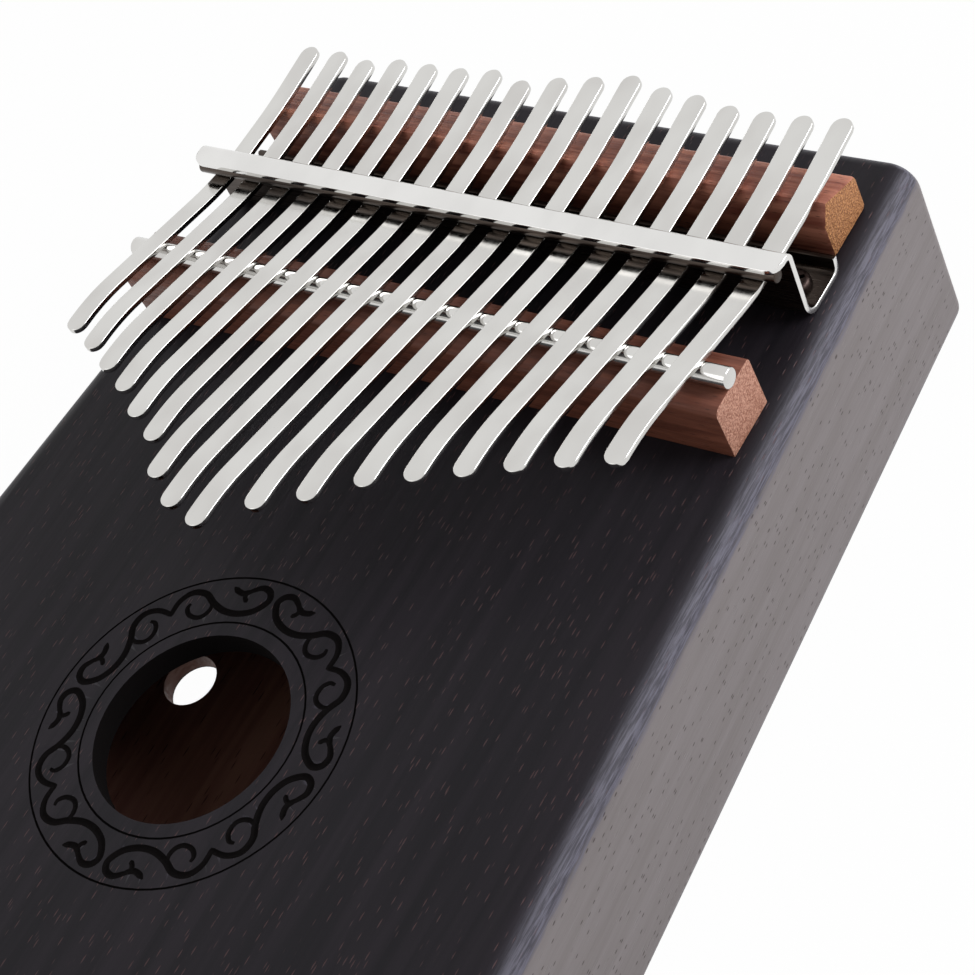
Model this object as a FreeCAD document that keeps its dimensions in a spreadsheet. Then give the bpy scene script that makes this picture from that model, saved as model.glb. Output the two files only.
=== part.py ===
import FreeCAD, Part
import math
import os
import re

import Sketcher

# Seventeen-tine box mbira (thumb piano).
# Frame: +Z up out of the soundboard, +Y toward the tuning end, X across the tines.
# The origin is on the middle of the flat back. All sizes are in millimetres.

os.makedirs("parts", exist_ok=True)
doc = FreeCAD.newDocument("mbira")
sheet = doc.addObject("Spreadsheet::Sheet", "Dimensions")

# Notes from the left tine to the right one, with their pitch in semitones above the middle tine.
NOTES = [
    ("d6", 26), ("b5", 23), ("g5", 19), ("e5", 16), ("c5", 12), ("a4", 9), ("f4", 5), ("d4", 2),
    ("c4", 0),
    ("e4", 4), ("g4", 7), ("b4", 11), ("d5", 14), ("f5", 17), ("a5", 21), ("c6", 24), ("e6", 28),
]

# How far each tine is slid from its nominal reach when it is tuned, same order.
TUNING_SLIDE = [-0.8, -0.3, -0.4, 0.0, 0.0, 0.0, 1.2, 1.2, 0.0, 0.2, 0.3, 0.0, 0.0, -0.1, 0.4, -0.2, 0.0]

# Where each tine's tuning end stands, along Y, same order.
TUNING_END = [
    85.3, 85.2, 84.3, 85.4, 85.4, 85.5, 86.2, 84.9, 86.5,
    87.7, 89.0, 87.6, 87.1, 86.0, 85.9, 86.2, 86.8,
]

SIZES = {
    # box
    "box_length": "181.7",
    "box_rear_width": "120.2",
    "box_front_width": "141.8",
    "box_height": "35.7",
    "end_edge_radius": "2.5",
    "top_edge_radius": "5",
    "back_edge_radius": "3",
    "board_thickness": "4.5",
    "wall_thickness": "7",
    "wall_corner_radius": "3",
    "back_thickness": "3.5",
    "back_ledge": "3",
    "glue_gap": "0.05",
    # sound hole, engraved rings and finger holes
    "hole_radius": "16.2",
    "hole_behind_middle": "-36.3",
    "inner_ring_radius": "18.55",
    "outer_ring_radius": "26.7",
    "ring_line_width": "0.35",
    "engraving_depth": "0.3",
    "finger_hole_radius": "4.9",
    "finger_hole_spacing": "67.6",
    "finger_hole_behind_middle": "-17.3",
    # tines
    "tine_pitch": "6.62",
    "tine_width": "3.6",
    "tine_thickness": "1",
    "tine_end_radius": "1.7",
    "tine_angle": "12.2",
    "reach_scale": "57.1",
    "reach_loss": "2.9",
    "bend_radius": "40",
    "bend_angle": "12.2",
    "tip_flat": "3",
    "rear_curve_radius": "60",
    "rear_tine_height": "9.95",
    "tail_start": "68",
    "tail_radius": "80",
    "tail_angle": "5",
    "crest_slot": "0.15",
    "tine_clearance": "0.05",
    # front bridge and its rod
    "front_bridge_behind_middle": "36.4",
    "front_bridge_depth": "10.6",
    "front_bridge_height": "10.4",
    "front_bridge_length": "118.1",
    "front_bridge_sideways": "-0.4",
    "front_bridge_shoulder": "2.5",
    "front_bridge_edge": "0.8",
    "rod_radius": "1.65",
    "rod_height": "12.05",
    "rod_length": "118",
    "rod_seat_clearance": "0.02",
    # rear bridge
    "rear_bridge_front": "69.7",
    "rear_bridge_depth": "10.7",
    "rear_bridge_length": "112.6",
    "rear_bridge_wall": "6.9",
    "rear_bridge_shoulder": "6.5",
    "rear_bridge_crest_inset": "2.1",
    # folded bracket
    "bracket_length": "116.2",
    "bracket_sheet": "1",
    "bracket_front": "54.1",
    "bracket_ridge": "58.8",
    "bracket_heel": "57.9",
    "bracket_foot_end": "67.3",
    "bracket_curl": "3.2",
    "bracket_curl_lean": "0.5",
    "bracket_inner_bend": "0.6",
    "bracket_lip_corner": "2.2",
    "slot_side_clearance": "0.4",
    "slot_bottom": "9.2",
    "slot_top": "12.2",
    # pressing rod
    "press_rod_radius": "1.15",
    "press_rod_behind_middle": "55.2",
    "press_rod_length": "114.6",
    # bracket screws and the block they bite into
    "screw_count": "5",
    "screw_spacing": "26.48",
    "screw_behind_middle": "62.6",
    "screw_head_radius": "2.6",
    "screw_head_height": "1.3",
    "screw_radius": "1.4",
    "screw_length": "11",
    "screw_slot_width": "0.7",
    "screw_slot_depth": "0.7",
    "screw_clearance": "0.1",
    "block_length": "104",
    "block_depth": "26",
    "block_thickness": "8",
    "block_behind_middle": "64",
}

DERIVED = {
    "board_top": "box_height",
    "board_underside": "box_height - board_thickness",
    "rear_edge": "box_length / 2",
    "front_edge": "-box_length / 2",
    "side_slope": "(box_front_width - box_rear_width) / 2 / box_length",
    "wall_side": "wall_thickness * sqrt(1 + side_slope ^ 2)",
    "cavity_rear_half": "box_rear_width / 2 + side_slope * wall_thickness - wall_side",
    "cavity_front_half": "box_front_width / 2 - side_slope * wall_thickness - wall_side",
    "ledge_rear_half": "cavity_rear_half + back_ledge",
    "ledge_front_half": "cavity_front_half + back_ledge",
    "back_rear_half": "ledge_rear_half - glue_gap",
    "back_front_half": "ledge_front_half - glue_gap",
    "rod_axis_y": "front_bridge_behind_middle",
    "rod_axis_z": "board_top + rod_height",
    "slope_sin": "sin(tine_angle)",
    "slope_cos": "cos(tine_angle)",
    "end_sin": "sin(tine_angle - bend_angle)",
    "end_cos": "cos(tine_angle - bend_angle)",
    "under_offset": "rod_radius + tine_clearance",
    "over_offset": "rod_radius + tine_clearance + tine_thickness",
    "rear_under_z": "board_top + rear_tine_height",
    "rear_over_z": "board_top + rear_tine_height + tine_thickness",
    "rear_run": "(rod_axis_z + over_offset * slope_cos - rear_curve_radius * (1 - slope_cos) - rear_over_z)"
                " / slope_sin",
    "curve_front_over_y": "rod_axis_y + over_offset * slope_sin + rear_run * slope_cos",
    "curve_front_over_z": "rod_axis_z + over_offset * slope_cos - rear_run * slope_sin",
    "curve_front_under_y": "rod_axis_y + under_offset * slope_sin + rear_run * slope_cos",
    "curve_front_under_z": "rod_axis_z + under_offset * slope_cos - rear_run * slope_sin",
    "curve_rear_y": "curve_front_over_y + rear_curve_radius * slope_sin",
    "curve_axis_z": "rear_over_z + rear_curve_radius",
    "bend_run": "bend_radius * bend_angle * pi / 180",
    "press_tine_z": "curve_axis_z - sqrt(rear_curve_radius ^ 2 - (curve_rear_y - press_rod_behind_middle) ^ 2)",
    "press_slope": "asin((curve_rear_y - press_rod_behind_middle) / rear_curve_radius)",
    "press_rod_z": "curve_axis_z - (rear_curve_radius - tine_clearance - press_rod_radius) * cos(press_slope)",
    "press_rod_y": "curve_rear_y - (rear_curve_radius - tine_clearance - press_rod_radius) * sin(press_slope)",
    "lip_under_z": "press_rod_z + press_rod_radius + rod_seat_clearance",
    "lip_over_z": "lip_under_z + bracket_sheet",
    "tail_under_y": "tail_start + (tail_radius + tine_thickness) * sin(tail_angle)",
    "tail_under_z": "rear_under_z + (tail_radius + tine_thickness) * (1 - cos(tail_angle))",
    "tail_over_y": "tail_start + tail_radius * sin(tail_angle)",
    "tail_over_z": "rear_over_z + tail_radius * (1 - cos(tail_angle))",
    "crest_run": "rear_bridge_front + rear_bridge_crest_inset - tail_start",
    "crest_rise": "tail_radius + tine_thickness - sqrt((tail_radius + tine_thickness) ^ 2 - crest_run ^ 2)",
    "rear_crest_z": "rear_under_z + crest_rise - tine_clearance",
    "foot_over_z": "board_top + bracket_sheet",
}


def fill_sheet():
    """Writes every driving and derived size, each with its alias."""
    row = 1
    for name, text in SIZES.items():
        sheet.set(f"A{row}", name)
        sheet.set(f"B{row}", text)
        sheet.setAlias(f"B{row}", name)
        row += 1
    for name, formula in DERIVED.items():
        sheet.set(f"A{row}", name)
        sheet.set(f"B{row}", "=" + formula)
        sheet.setAlias(f"B{row}", name)
        row += 1
    for (note, semitones), slide, end in zip(NOTES, TUNING_SLIDE, TUNING_END):
        rows = {
            f"semitones_{note}": str(semitones),
            f"slide_{note}": str(slide),
            f"end_{note}": str(end),
            f"reach_{note}": f"=reach_scale * 2 ^ (-semitones_{note} / 24) - reach_loss + slide_{note}",
            f"straight_{note}": f"=reach_{note} - bend_run - tip_flat",
        }
        for name, text in rows.items():
            sheet.set(f"A{row}", name)
            sheet.set(f"B{row}", text)
            sheet.setAlias(f"B{row}", name)
            row += 1
    doc.recompute()


fill_sheet()
ALIASES = sorted(
    (sheet.getAlias(cell) for cell in sheet.getUsedCells() if sheet.getAlias(cell)), key=len, reverse=True
)
ALIAS_PATTERN = re.compile(r"\b(" + "|".join(ALIASES) + r")\b")


def value(formula):
    """The present value of a formula written in aliases."""
    return float(sheet.evalExpression(str(formula)))


def linked(formula):
    """The same formula as another object has to write it."""
    return ALIAS_PATTERN.sub(r"Dimensions.\1", str(formula))


def drive(obj, **formulas):
    """Binds properties of an object to formulas."""
    for prop, formula in formulas.items():
        obj.setExpression(prop, linked(formula))


# ---------------------------------------------------------------- sketch helpers

PLANES = {"XY": 3, "XZ": 4, "YZ": 5}


def new_body(label):
    body = doc.addObject("PartDesign::Body", label)
    body.Label = label
    return body


def new_sketch(body, plane, offset=None):
    """A sketch on one of the body's own origin planes, lifted off it by a formula if one is given."""
    sketch = body.newObject("Sketcher::SketchObject", body.Label + "_sketch")
    sketch.AttachmentSupport = (body.Origin.OriginFeatures[PLANES[plane]], [""])
    sketch.MapMode = "FlatFace"
    if offset is not None:
        sketch.setExpression(".AttachmentOffset.Base.z", linked(offset))
    return sketch


def place_point(sketch, geo, pos, x, y):
    """Fixes a point of the sketch at two formulas."""
    for kind, formula in (("DistanceX", x), ("DistanceY", y)):
        index = sketch.addConstraint(Sketcher.Constraint(kind, -1, 1, geo, pos, value(formula)))
        sketch.setExpression(f"Constraints[{index}]", linked(formula))


def add_circle(sketch, x, y, radius):
    centre = FreeCAD.Vector(value(x), value(y), 0)
    geo = sketch.addGeometry(Part.Circle(centre, FreeCAD.Vector(0, 0, 1), value(radius)), False)
    place_point(sketch, geo, 3, x, y)
    index = sketch.addConstraint(Sketcher.Constraint("Radius", geo, value(radius)))
    sketch.setExpression(f"Constraints[{index}]", linked(radius))


def arc_geometry(start, end, radius, turn):
    """An arc from start to end; turn is 1 for anticlockwise and -1 for clockwise."""
    chord = end - start
    middle = (start + end) * 0.5
    rise = math.sqrt(radius ** 2 - (chord.Length / 2) ** 2)
    left = FreeCAD.Vector(-chord.y, chord.x, 0).normalize()
    centre = middle + left * (rise * turn)
    first, last = (start, end) if turn > 0 else (end, start)
    begin = math.atan2(first.y - centre.y, first.x - centre.x)
    finish = math.atan2(last.y - centre.y, last.x - centre.x)
    circle = Part.Circle(centre, FreeCAD.Vector(0, 0, 1), radius)
    return Part.ArcOfCircle(circle, begin, finish if finish > begin else finish + 2 * math.pi)


def add_outline(sketch, corners):
    """A closed outline.

    corners is a list of (x, y) or (x, y, radius, turn) formulas; the longer form has an arc
    from that corner to the next one.
    """
    points = [FreeCAD.Vector(value(corner[0]), value(corner[1]), 0) for corner in corners]
    ends = []
    for number, corner in enumerate(corners):
        start = points[number]
        end = points[(number + 1) % len(points)]
        if len(corner) == 2:
            geo = sketch.addGeometry(Part.LineSegment(start, end), False)
            ends.append((geo, 1, 2))
        else:
            geo = sketch.addGeometry(arc_geometry(start, end, value(corner[2]), corner[3]), False)
            ends.append((geo, 1, 2) if corner[3] > 0 else (geo, 2, 1))
    for number, (geo, _, last) in enumerate(ends):
        next_geo, next_first, _ = ends[(number + 1) % len(ends)]
        sketch.addConstraint(Sketcher.Constraint("Coincident", geo, last, next_geo, next_first))
    for number, corner in enumerate(corners):
        geo, first, _ = ends[number]
        place_point(sketch, geo, first, corner[0], corner[1])
        if len(corner) == 4:
            index = sketch.addConstraint(Sketcher.Constraint("Radius", geo, value(corner[2])))
            sketch.setExpression(f"Constraints[{index}]", linked(corner[2]))


def pad(body, sketch, length, midplane=False):
    feature = body.newObject("PartDesign::Pad", body.Label + "_pad")
    feature.Profile = sketch
    feature.Midplane = midplane
    drive(feature, Length=length)
    sketch.Visibility = False
    doc.recompute()
    return feature


def pocket(body, sketch, length=None, reverse=False):
    """A pocket of the given depth, or through everything both ways when no depth is given."""
    before = body.Shape.Volume
    feature = body.newObject("PartDesign::Pocket", body.Label + "_pocket")
    feature.Profile = sketch
    if length is None:
        feature.Type = "ThroughAll"
        feature.Midplane = True
    else:
        drive(feature, Length=length)
        feature.Reversed = reverse
    sketch.Visibility = False
    doc.recompute()
    if not body.Shape.Volume < before - 1e-6:
        raise RuntimeError(body.Label + ": a pocket removed nothing")
    return feature


def edges_where(shape, test):
    """Names of the edges whose middle point and direction pass a test."""
    names = []
    for number, edge in enumerate(shape.Edges, 1):
        middle = edge.valueAt((edge.FirstParameter + edge.LastParameter) / 2)
        ends = edge.valueAt(edge.LastParameter) - edge.valueAt(edge.FirstParameter)
        if test(middle, ends):
            names.append(f"Edge{number}")
    return names


def fillet(body, names, radius):
    base = body.Tip
    feature = body.newObject("PartDesign::Fillet", body.Label + "_fillet")
    feature.Base = (base, names)
    drive(feature, Radius=radius)
    doc.recompute()
    return feature


def along_z(ends):
    return abs(ends.z) > 0.9 * ends.Length


def along_x(ends):
    return abs(ends.x) > 0.9 * ends.Length


def flat_outline(sketch, rear_half, front_half, rear, front):
    """The tapered plan outline that the box, its hollow and its back share."""
    add_outline(sketch, [
        (f"-({front_half})", front),
        (front_half, front),
        (rear_half, rear),
        (f"-({rear_half})", rear),
    ])


# ---------------------------------------------------------------- box

def make_body_shell():
    body = new_body("body_shell")
    outline = new_sketch(body, "XY")
    flat_outline(outline, "box_rear_width / 2", "box_front_width / 2", "rear_edge", "front_edge")
    pad(body, outline, "box_height")
    top = value("board_top")
    for height, radius in ((top, "top_edge_radius"), (0, "back_edge_radius")):
        fillet(body, edges_where(
            body.Shape, lambda middle, ends: abs(middle.z - height) < 1e-4 and abs(middle.x) > 50
        ), radius)
    for end in (value("rear_edge"), value("front_edge")):
        fillet(body, edges_where(
            body.Shape, lambda middle, ends: abs(middle.y - end) < 1e-4 and abs(ends.y) < 1e-4
        ), "end_edge_radius")

    hollow = new_sketch(body, "XY")
    flat_outline(hollow, "cavity_rear_half", "cavity_front_half",
                 "rear_edge - wall_thickness", "front_edge + wall_thickness")
    pocket(body, hollow, "board_underside", reverse=True)
    reach = value("rear_edge - wall_thickness")
    inner = edges_where(
        body.Shape,
        lambda middle, ends: along_z(ends) and abs(abs(middle.y) - reach) < 1e-3,
    )
    fillet(body, inner, "wall_corner_radius")

    ledge = new_sketch(body, "XY")
    flat_outline(ledge, "ledge_rear_half", "ledge_front_half",
                 "rear_edge - wall_thickness + back_ledge", "front_edge + wall_thickness - back_ledge")
    pocket(body, ledge, "back_thickness + glue_gap", reverse=True)

    hole = new_sketch(body, "XY", "board_top")
    add_circle(hole, "0", "hole_behind_middle", "hole_radius")
    pocket(body, hole, "board_thickness + 1")

    for radius in ("inner_ring_radius", "outer_ring_radius"):
        ring = new_sketch(body, "XY", "board_top")
        add_circle(ring, "0", "hole_behind_middle", radius + " + ring_line_width / 2")
        add_circle(ring, "0", "hole_behind_middle", radius + " - ring_line_width / 2")
        pocket(body, ring, "engraving_depth")
    return body


def make_back_plate():
    body = new_body("back_plate")
    outline = new_sketch(body, "XY")
    flat_outline(outline, "back_rear_half", "back_front_half",
                 "rear_edge - wall_thickness + back_ledge - glue_gap",
                 "front_edge + wall_thickness - back_ledge + glue_gap")
    pad(body, outline, "back_thickness")
    holes = new_sketch(body, "XY", "back_thickness")
    for side in ("-", ""):
        add_circle(holes, f"{side}finger_hole_spacing / 2", "finger_hole_behind_middle", "finger_hole_radius")
    pocket(body, holes, "back_thickness + 1")
    return body


def make_bridge_block():
    block = doc.addObject("Part::Box", "bridge_block_blank")
    drive(block, Length="block_length", Width="block_depth", Height="block_thickness")
    block.setExpression(".Placement.Base.x", linked("-block_length / 2"))
    block.setExpression(".Placement.Base.y", linked("block_behind_middle - block_depth / 2"))
    block.setExpression(".Placement.Base.z", linked("board_underside - glue_gap - block_thickness"))
    return block


# ---------------------------------------------------------------- bridges and rods

def make_cross_rod(label, length, radius, y, z):
    """A round rod lying along X, centred on the middle of the object."""
    rod = doc.addObject("Part::Cylinder", label)
    rod.Label = label
    drive(rod, Height=length, Radius=radius)
    rod.Placement.Rotation = FreeCAD.Rotation(FreeCAD.Vector(0, 1, 0), 90)
    rod.setExpression(".Placement.Base.x", linked(f"-({length}) / 2"))
    rod.setExpression(".Placement.Base.y", linked(y))
    rod.setExpression(".Placement.Base.z", linked(z))
    return rod


def make_front_bridge():
    body = new_body("front_bridge")
    section = new_sketch(body, "YZ", "front_bridge_sideways")
    front = "front_bridge_behind_middle - front_bridge_depth / 2"
    rear = "front_bridge_behind_middle + front_bridge_depth / 2"
    add_outline(section, [
        (front, "board_top"),
        (rear, "board_top"),
        (rear, "board_top + front_bridge_height"),
        (front, "board_top + front_bridge_height"),
    ])
    pad(body, section, "front_bridge_length", midplane=True)
    top = value("board_top + front_bridge_height")
    middle_y = value("front_bridge_behind_middle")
    fillet(body, edges_where(
        body.Shape, lambda middle, ends: along_x(ends) and abs(middle.z - top) < 1e-4 and middle.y < middle_y
    ), "front_bridge_shoulder")
    fillet(body, edges_where(
        body.Shape, lambda middle, ends: along_x(ends) and abs(middle.z - top) < 1e-4 and middle.y > middle_y + 3
    ), "front_bridge_edge")
    groove = new_sketch(body, "YZ")
    add_circle(groove, "rod_axis_y", "rod_axis_z", "rod_radius + rod_seat_clearance")
    pocket(body, groove)
    return body


def make_rear_bridge():
    body = new_body("rear_bridge")
    section = new_sketch(body, "YZ")
    rear = "rear_bridge_front + rear_bridge_depth"
    add_outline(section, [
        ("rear_bridge_front", "board_top"),
        (rear, "board_top"),
        (rear, "board_top + rear_bridge_wall"),
        ("rear_bridge_front + rear_bridge_crest_inset", "rear_crest_z"),
        ("rear_bridge_front", "board_top + rear_bridge_shoulder"),
    ])
    pad(body, section, "rear_bridge_length", midplane=True)
    return body


# ---------------------------------------------------------------- folded bracket, its rod and screws

def make_bracket():
    body = new_body("bracket")
    section = new_sketch(body, "YZ")
    add_outline(section, [
        ("bracket_front", "lip_over_z"),
        ("bracket_front", "lip_under_z"),
        ("bracket_ridge - bracket_sheet", "lip_under_z"),
        ("bracket_heel - bracket_sheet", "board_top"),
        ("bracket_foot_end", "board_top"),
        ("bracket_foot_end + bracket_curl_lean", "board_top + bracket_curl"),
        ("bracket_foot_end + bracket_curl_lean - bracket_sheet", "board_top + bracket_curl"),
        ("bracket_foot_end - bracket_sheet", "foot_over_z"),
        ("bracket_heel", "foot_over_z"),
        ("bracket_ridge", "lip_over_z"),
    ])
    pad(body, section, "bracket_length", midplane=True)

    def corner(y, z):
        at_y, at_z = value(y), value(z)
        return edges_where(body.Shape, lambda middle, ends: (
            along_x(ends) and abs(middle.y - at_y) < 1e-3 and abs(middle.z - at_z) < 1e-3))

    fillet(body, corner("bracket_ridge", "lip_over_z"), "bracket_inner_bend + bracket_sheet")
    fillet(body, corner("bracket_ridge - bracket_sheet", "lip_under_z"), "bracket_inner_bend")
    fillet(body, corner("bracket_heel - bracket_sheet", "board_top"), "bracket_inner_bend + bracket_sheet")
    fillet(body, corner("bracket_heel", "foot_over_z"), "bracket_inner_bend")
    fillet(body, corner("bracket_foot_end", "board_top"), "bracket_inner_bend + bracket_sheet")
    fillet(body, corner("bracket_foot_end - bracket_sheet", "foot_over_z"), "bracket_inner_bend")
    front = value("bracket_front")
    fillet(body, edges_where(
        body.Shape, lambda middle, ends: along_z(ends) and abs(middle.y - front) < 1e-3
    ), "bracket_lip_corner")

    slot = new_sketch(body, "XZ")
    half = "(tine_width / 2 + slot_side_clearance)"
    first = f"-{len(NOTES) // 2} * tine_pitch"
    add_outline(slot, [
        (f"{first} - {half}", "board_top + slot_bottom"),
        (f"{first} + {half}", "board_top + slot_bottom"),
        (f"{first} + {half}", "board_top + slot_top"),
        (f"{first} - {half}", "board_top + slot_top"),
    ])
    cut = pocket(body, slot)
    row = body.newObject("PartDesign::LinearPattern", "bracket_slots")
    row.Originals = [cut]
    row.Direction = (slot, ["H_Axis"])
    drive(row, Length=f"tine_pitch * {len(NOTES) - 1}")
    body.Tip = row
    row.Occurrences = len(NOTES)
    doc.recompute()

    hole = new_sketch(body, "XY", "foot_over_z")
    add_circle(hole, "-(screw_count - 1) / 2 * screw_spacing", "screw_behind_middle", "screw_radius + screw_clearance")
    drill = pocket(body, hole, "bracket_sheet + 1")
    holes = body.newObject("PartDesign::LinearPattern", "bracket_holes")
    holes.Originals = [drill]
    holes.Direction = (hole, ["H_Axis"])
    drive(holes, Length="screw_spacing * (screw_count - 1)")
    body.Tip = holes
    holes.setExpression("Occurrences", linked("screw_count"))
    doc.recompute()
    return body


def screw_x(number):
    return f"({number} - (screw_count - 1) / 2) * screw_spacing"


def make_screws():
    screws = []
    for number in range(int(value("screw_count"))):
        x = screw_x(number)
        head = doc.addObject("Part::Cylinder", f"screw_head_{number}")
        drive(head, Radius="screw_head_radius", Height="screw_head_height")
        head.setExpression(".Placement.Base.x", linked(x))
        head.setExpression(".Placement.Base.y", linked("screw_behind_middle"))
        head.setExpression(".Placement.Base.z", linked("foot_over_z"))
        shank = doc.addObject("Part::Cylinder", f"screw_shank_{number}")
        drive(shank, Radius="screw_radius", Height="screw_length + screw_head_height / 2")
        shank.setExpression(".Placement.Base.x", linked(x))
        shank.setExpression(".Placement.Base.y", linked("screw_behind_middle"))
        shank.setExpression(".Placement.Base.z", linked("foot_over_z - screw_length"))
        whole = doc.addObject("Part::Fuse", f"screw_blank_{number}")
        whole.Base = head
        whole.Tool = shank
        slot = doc.addObject("Part::Box", f"screw_slot_{number}")
        drive(slot, Length="screw_head_radius * 3", Width="screw_slot_width", Height="screw_head_height")
        slot.setExpression(".Placement.Base.x", linked(f"{x} - screw_head_radius * 1.5"))
        slot.setExpression(".Placement.Base.y", linked("screw_behind_middle - screw_slot_width / 2"))
        slot.setExpression(".Placement.Base.z", linked("foot_over_z + screw_head_height - screw_slot_depth"))
        screw = doc.addObject("Part::Cut", f"screw_{number}")
        screw.Base = whole
        screw.Tool = slot
        screws.append(screw)
    group = doc.addObject("Part::Compound", "bracket_screws")
    group.Label = "bracket_screws"
    group.Links = screws
    return group


def screw_drills(label):
    """Clearance drills for the screw shanks, as one tool."""
    drills = []
    for number in range(int(value("screw_count"))):
        drill = doc.addObject("Part::Cylinder", f"{label}_drill_{number}")
        drive(drill, Radius="screw_radius + rod_seat_clearance", Height="screw_length + 1")
        drill.setExpression(".Placement.Base.x", linked(screw_x(number)))
        drill.setExpression(".Placement.Base.y", linked("screw_behind_middle"))
        drill.setExpression(".Placement.Base.z", linked("foot_over_z - screw_length - 0.2"))
        drills.append(drill)
    tool = doc.addObject("Part::Compound", f"{label}_drills")
    tool.Links = drills
    return tool


def drilled(label, base):
    """A part with the screw shanks' holes bored in it."""
    cut = doc.addObject("Part::Cut", label)
    cut.Label = label
    cut.Base = base
    cut.Tool = screw_drills(label)
    return cut


# ---------------------------------------------------------------- tines

def crest_point(offset, run):
    """A point on the sloping part: offset square to the tine, run toward the tip from the crest."""
    y = f"rod_axis_y + ({offset}) * slope_sin - ({run}) * slope_cos"
    z = f"rod_axis_z + ({offset}) * slope_cos + ({run}) * slope_sin"
    return y, z


def round_ends(body, at_y, radius):
    """Rounds the two corners of a strip's end in plan."""
    corners = edges_where(body.Shape, lambda middle, ends: abs(middle.y - at_y) < 1.5
                          and abs(ends.x) < 1e-6 and abs(ends.z) > 0.5 * ends.Length)
    fillet(body, corners, radius)


def make_shank(number, note):
    """The held length of a tine, from its tuning end to the crest of the front rod."""
    body = new_body(f"tine_{number:02d}_{note}_shank")
    profile = new_sketch(body, "YZ")
    add_outline(profile, [
        crest_point("under_offset", "-crest_slot / 2"),
        ("curve_front_under_y", "curve_front_under_z", "rear_curve_radius + tine_thickness", 1),
        ("curve_rear_y", "rear_under_z"),
        ("tail_start", "rear_under_z", "tail_radius + tine_thickness", 1),
        ("tail_under_y", "tail_under_z"),
        (f"end_{note}", f"tail_under_z + (end_{note} - tail_under_y) * tan(tail_angle)"),
        (f"end_{note}", f"tail_over_z + (end_{note} - tail_over_y) * tan(tail_angle)"),
        ("tail_over_y", "tail_over_z", "tail_radius", -1),
        ("tail_start", "rear_over_z"),
        ("curve_rear_y", "rear_over_z", "rear_curve_radius", -1),
        ("curve_front_over_y", "curve_front_over_z"),
        crest_point("over_offset", "-crest_slot / 2"),
    ])
    pad(body, profile, "tine_width", midplane=True)
    round_ends(body, value(f"end_{note}"), "tine_end_radius")
    body.setExpression(".Placement.Base.x", linked(f"({number} - {(len(NOTES) + 1) // 2}) * tine_pitch"))
    return body


def make_tongue(number, note):
    """The free length of a tine, from the crest of the front rod to the plucked tip."""
    body = new_body(f"tine_{number:02d}_{note}_tongue")
    profile = new_sketch(body, "YZ")
    run = f"straight_{note}"
    under_start = crest_point("under_offset", run)
    over_start = crest_point("over_offset", run)
    axis = crest_point("under_offset - bend_radius", run)

    def bent(radius, flat):
        y = f"{axis[0]} - ({radius}) * (-end_sin) - ({flat}) * end_cos"
        z = f"{axis[1]} + ({radius}) * end_cos + ({flat}) * end_sin"
        return y, z

    add_outline(profile, [
        crest_point("under_offset", "crest_slot / 2"),
        crest_point("over_offset", "crest_slot / 2"),
        over_start + ("bend_radius + tine_thickness", 1),
        bent("bend_radius + tine_thickness", "0"),
        bent("bend_radius + tine_thickness", "tip_flat"),
        bent("bend_radius", "tip_flat"),
        bent("bend_radius", "0") + ("bend_radius", -1),
        under_start,
    ])
    pad(body, profile, "tine_width", midplane=True)
    tip_y = value(bent("bend_radius", "tip_flat")[0])
    round_ends(body, tip_y, "tine_end_radius")
    body.setExpression(".Placement.Base.x", linked(f"({number} - {(len(NOTES) + 1) // 2}) * tine_pitch"))
    return body


# ---------------------------------------------------------------- build and write

def make_all():
    shell = make_body_shell()
    shell.Label = "body_shell_undrilled"
    nodes = [
        drilled("body_shell", shell),
        make_back_plate(),
        drilled("bridge_block", make_bridge_block()),
        make_front_bridge(),
        make_cross_rod("front_rod", "rod_length", "rod_radius", "rod_axis_y", "rod_axis_z"),
        make_rear_bridge(),
        make_bracket(),
        make_cross_rod("pressing_rod", "press_rod_length", "press_rod_radius", "press_rod_y", "press_rod_z"),
        make_screws(),
    ]
    for number, (note, _) in enumerate(NOTES, 1):
        nodes.append(make_shank(number, note))
        nodes.append(make_tongue(number, note))
    doc.recompute()
    return nodes


def check_and_write(nodes):
    for obj in doc.Objects:
        if "Invalid" in obj.State or "Error" in obj.State:
            raise RuntimeError(f"{obj.Label}: {obj.State}")
    for node in nodes:
        shape = node.Shape
        if shape.isNull() or not shape.isValid() or not shape.Solids:
            raise RuntimeError(f"{node.Label}: no valid solid")
        shape.exportStep(f"parts/{node.Label}.step")
        print(node.Label, len(shape.Solids), round(shape.Volume, 2))


check_and_write(make_all())
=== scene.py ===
# %% [markdown]
# # A seventeen-tine box mbira
#
# The CAD model of the instrument is loaded as a fixed frame. This lesson gives it its looks:
# sprung steel tines, a folded clamp bracket, two hardwood bridges, and a dark stained box with
# scrollwork cut round its sound hole. Sizes are in millimetres until they reach a mesh.

import math

import bmesh
import bpy
from mathutils import Euler, Matrix, Vector


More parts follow.
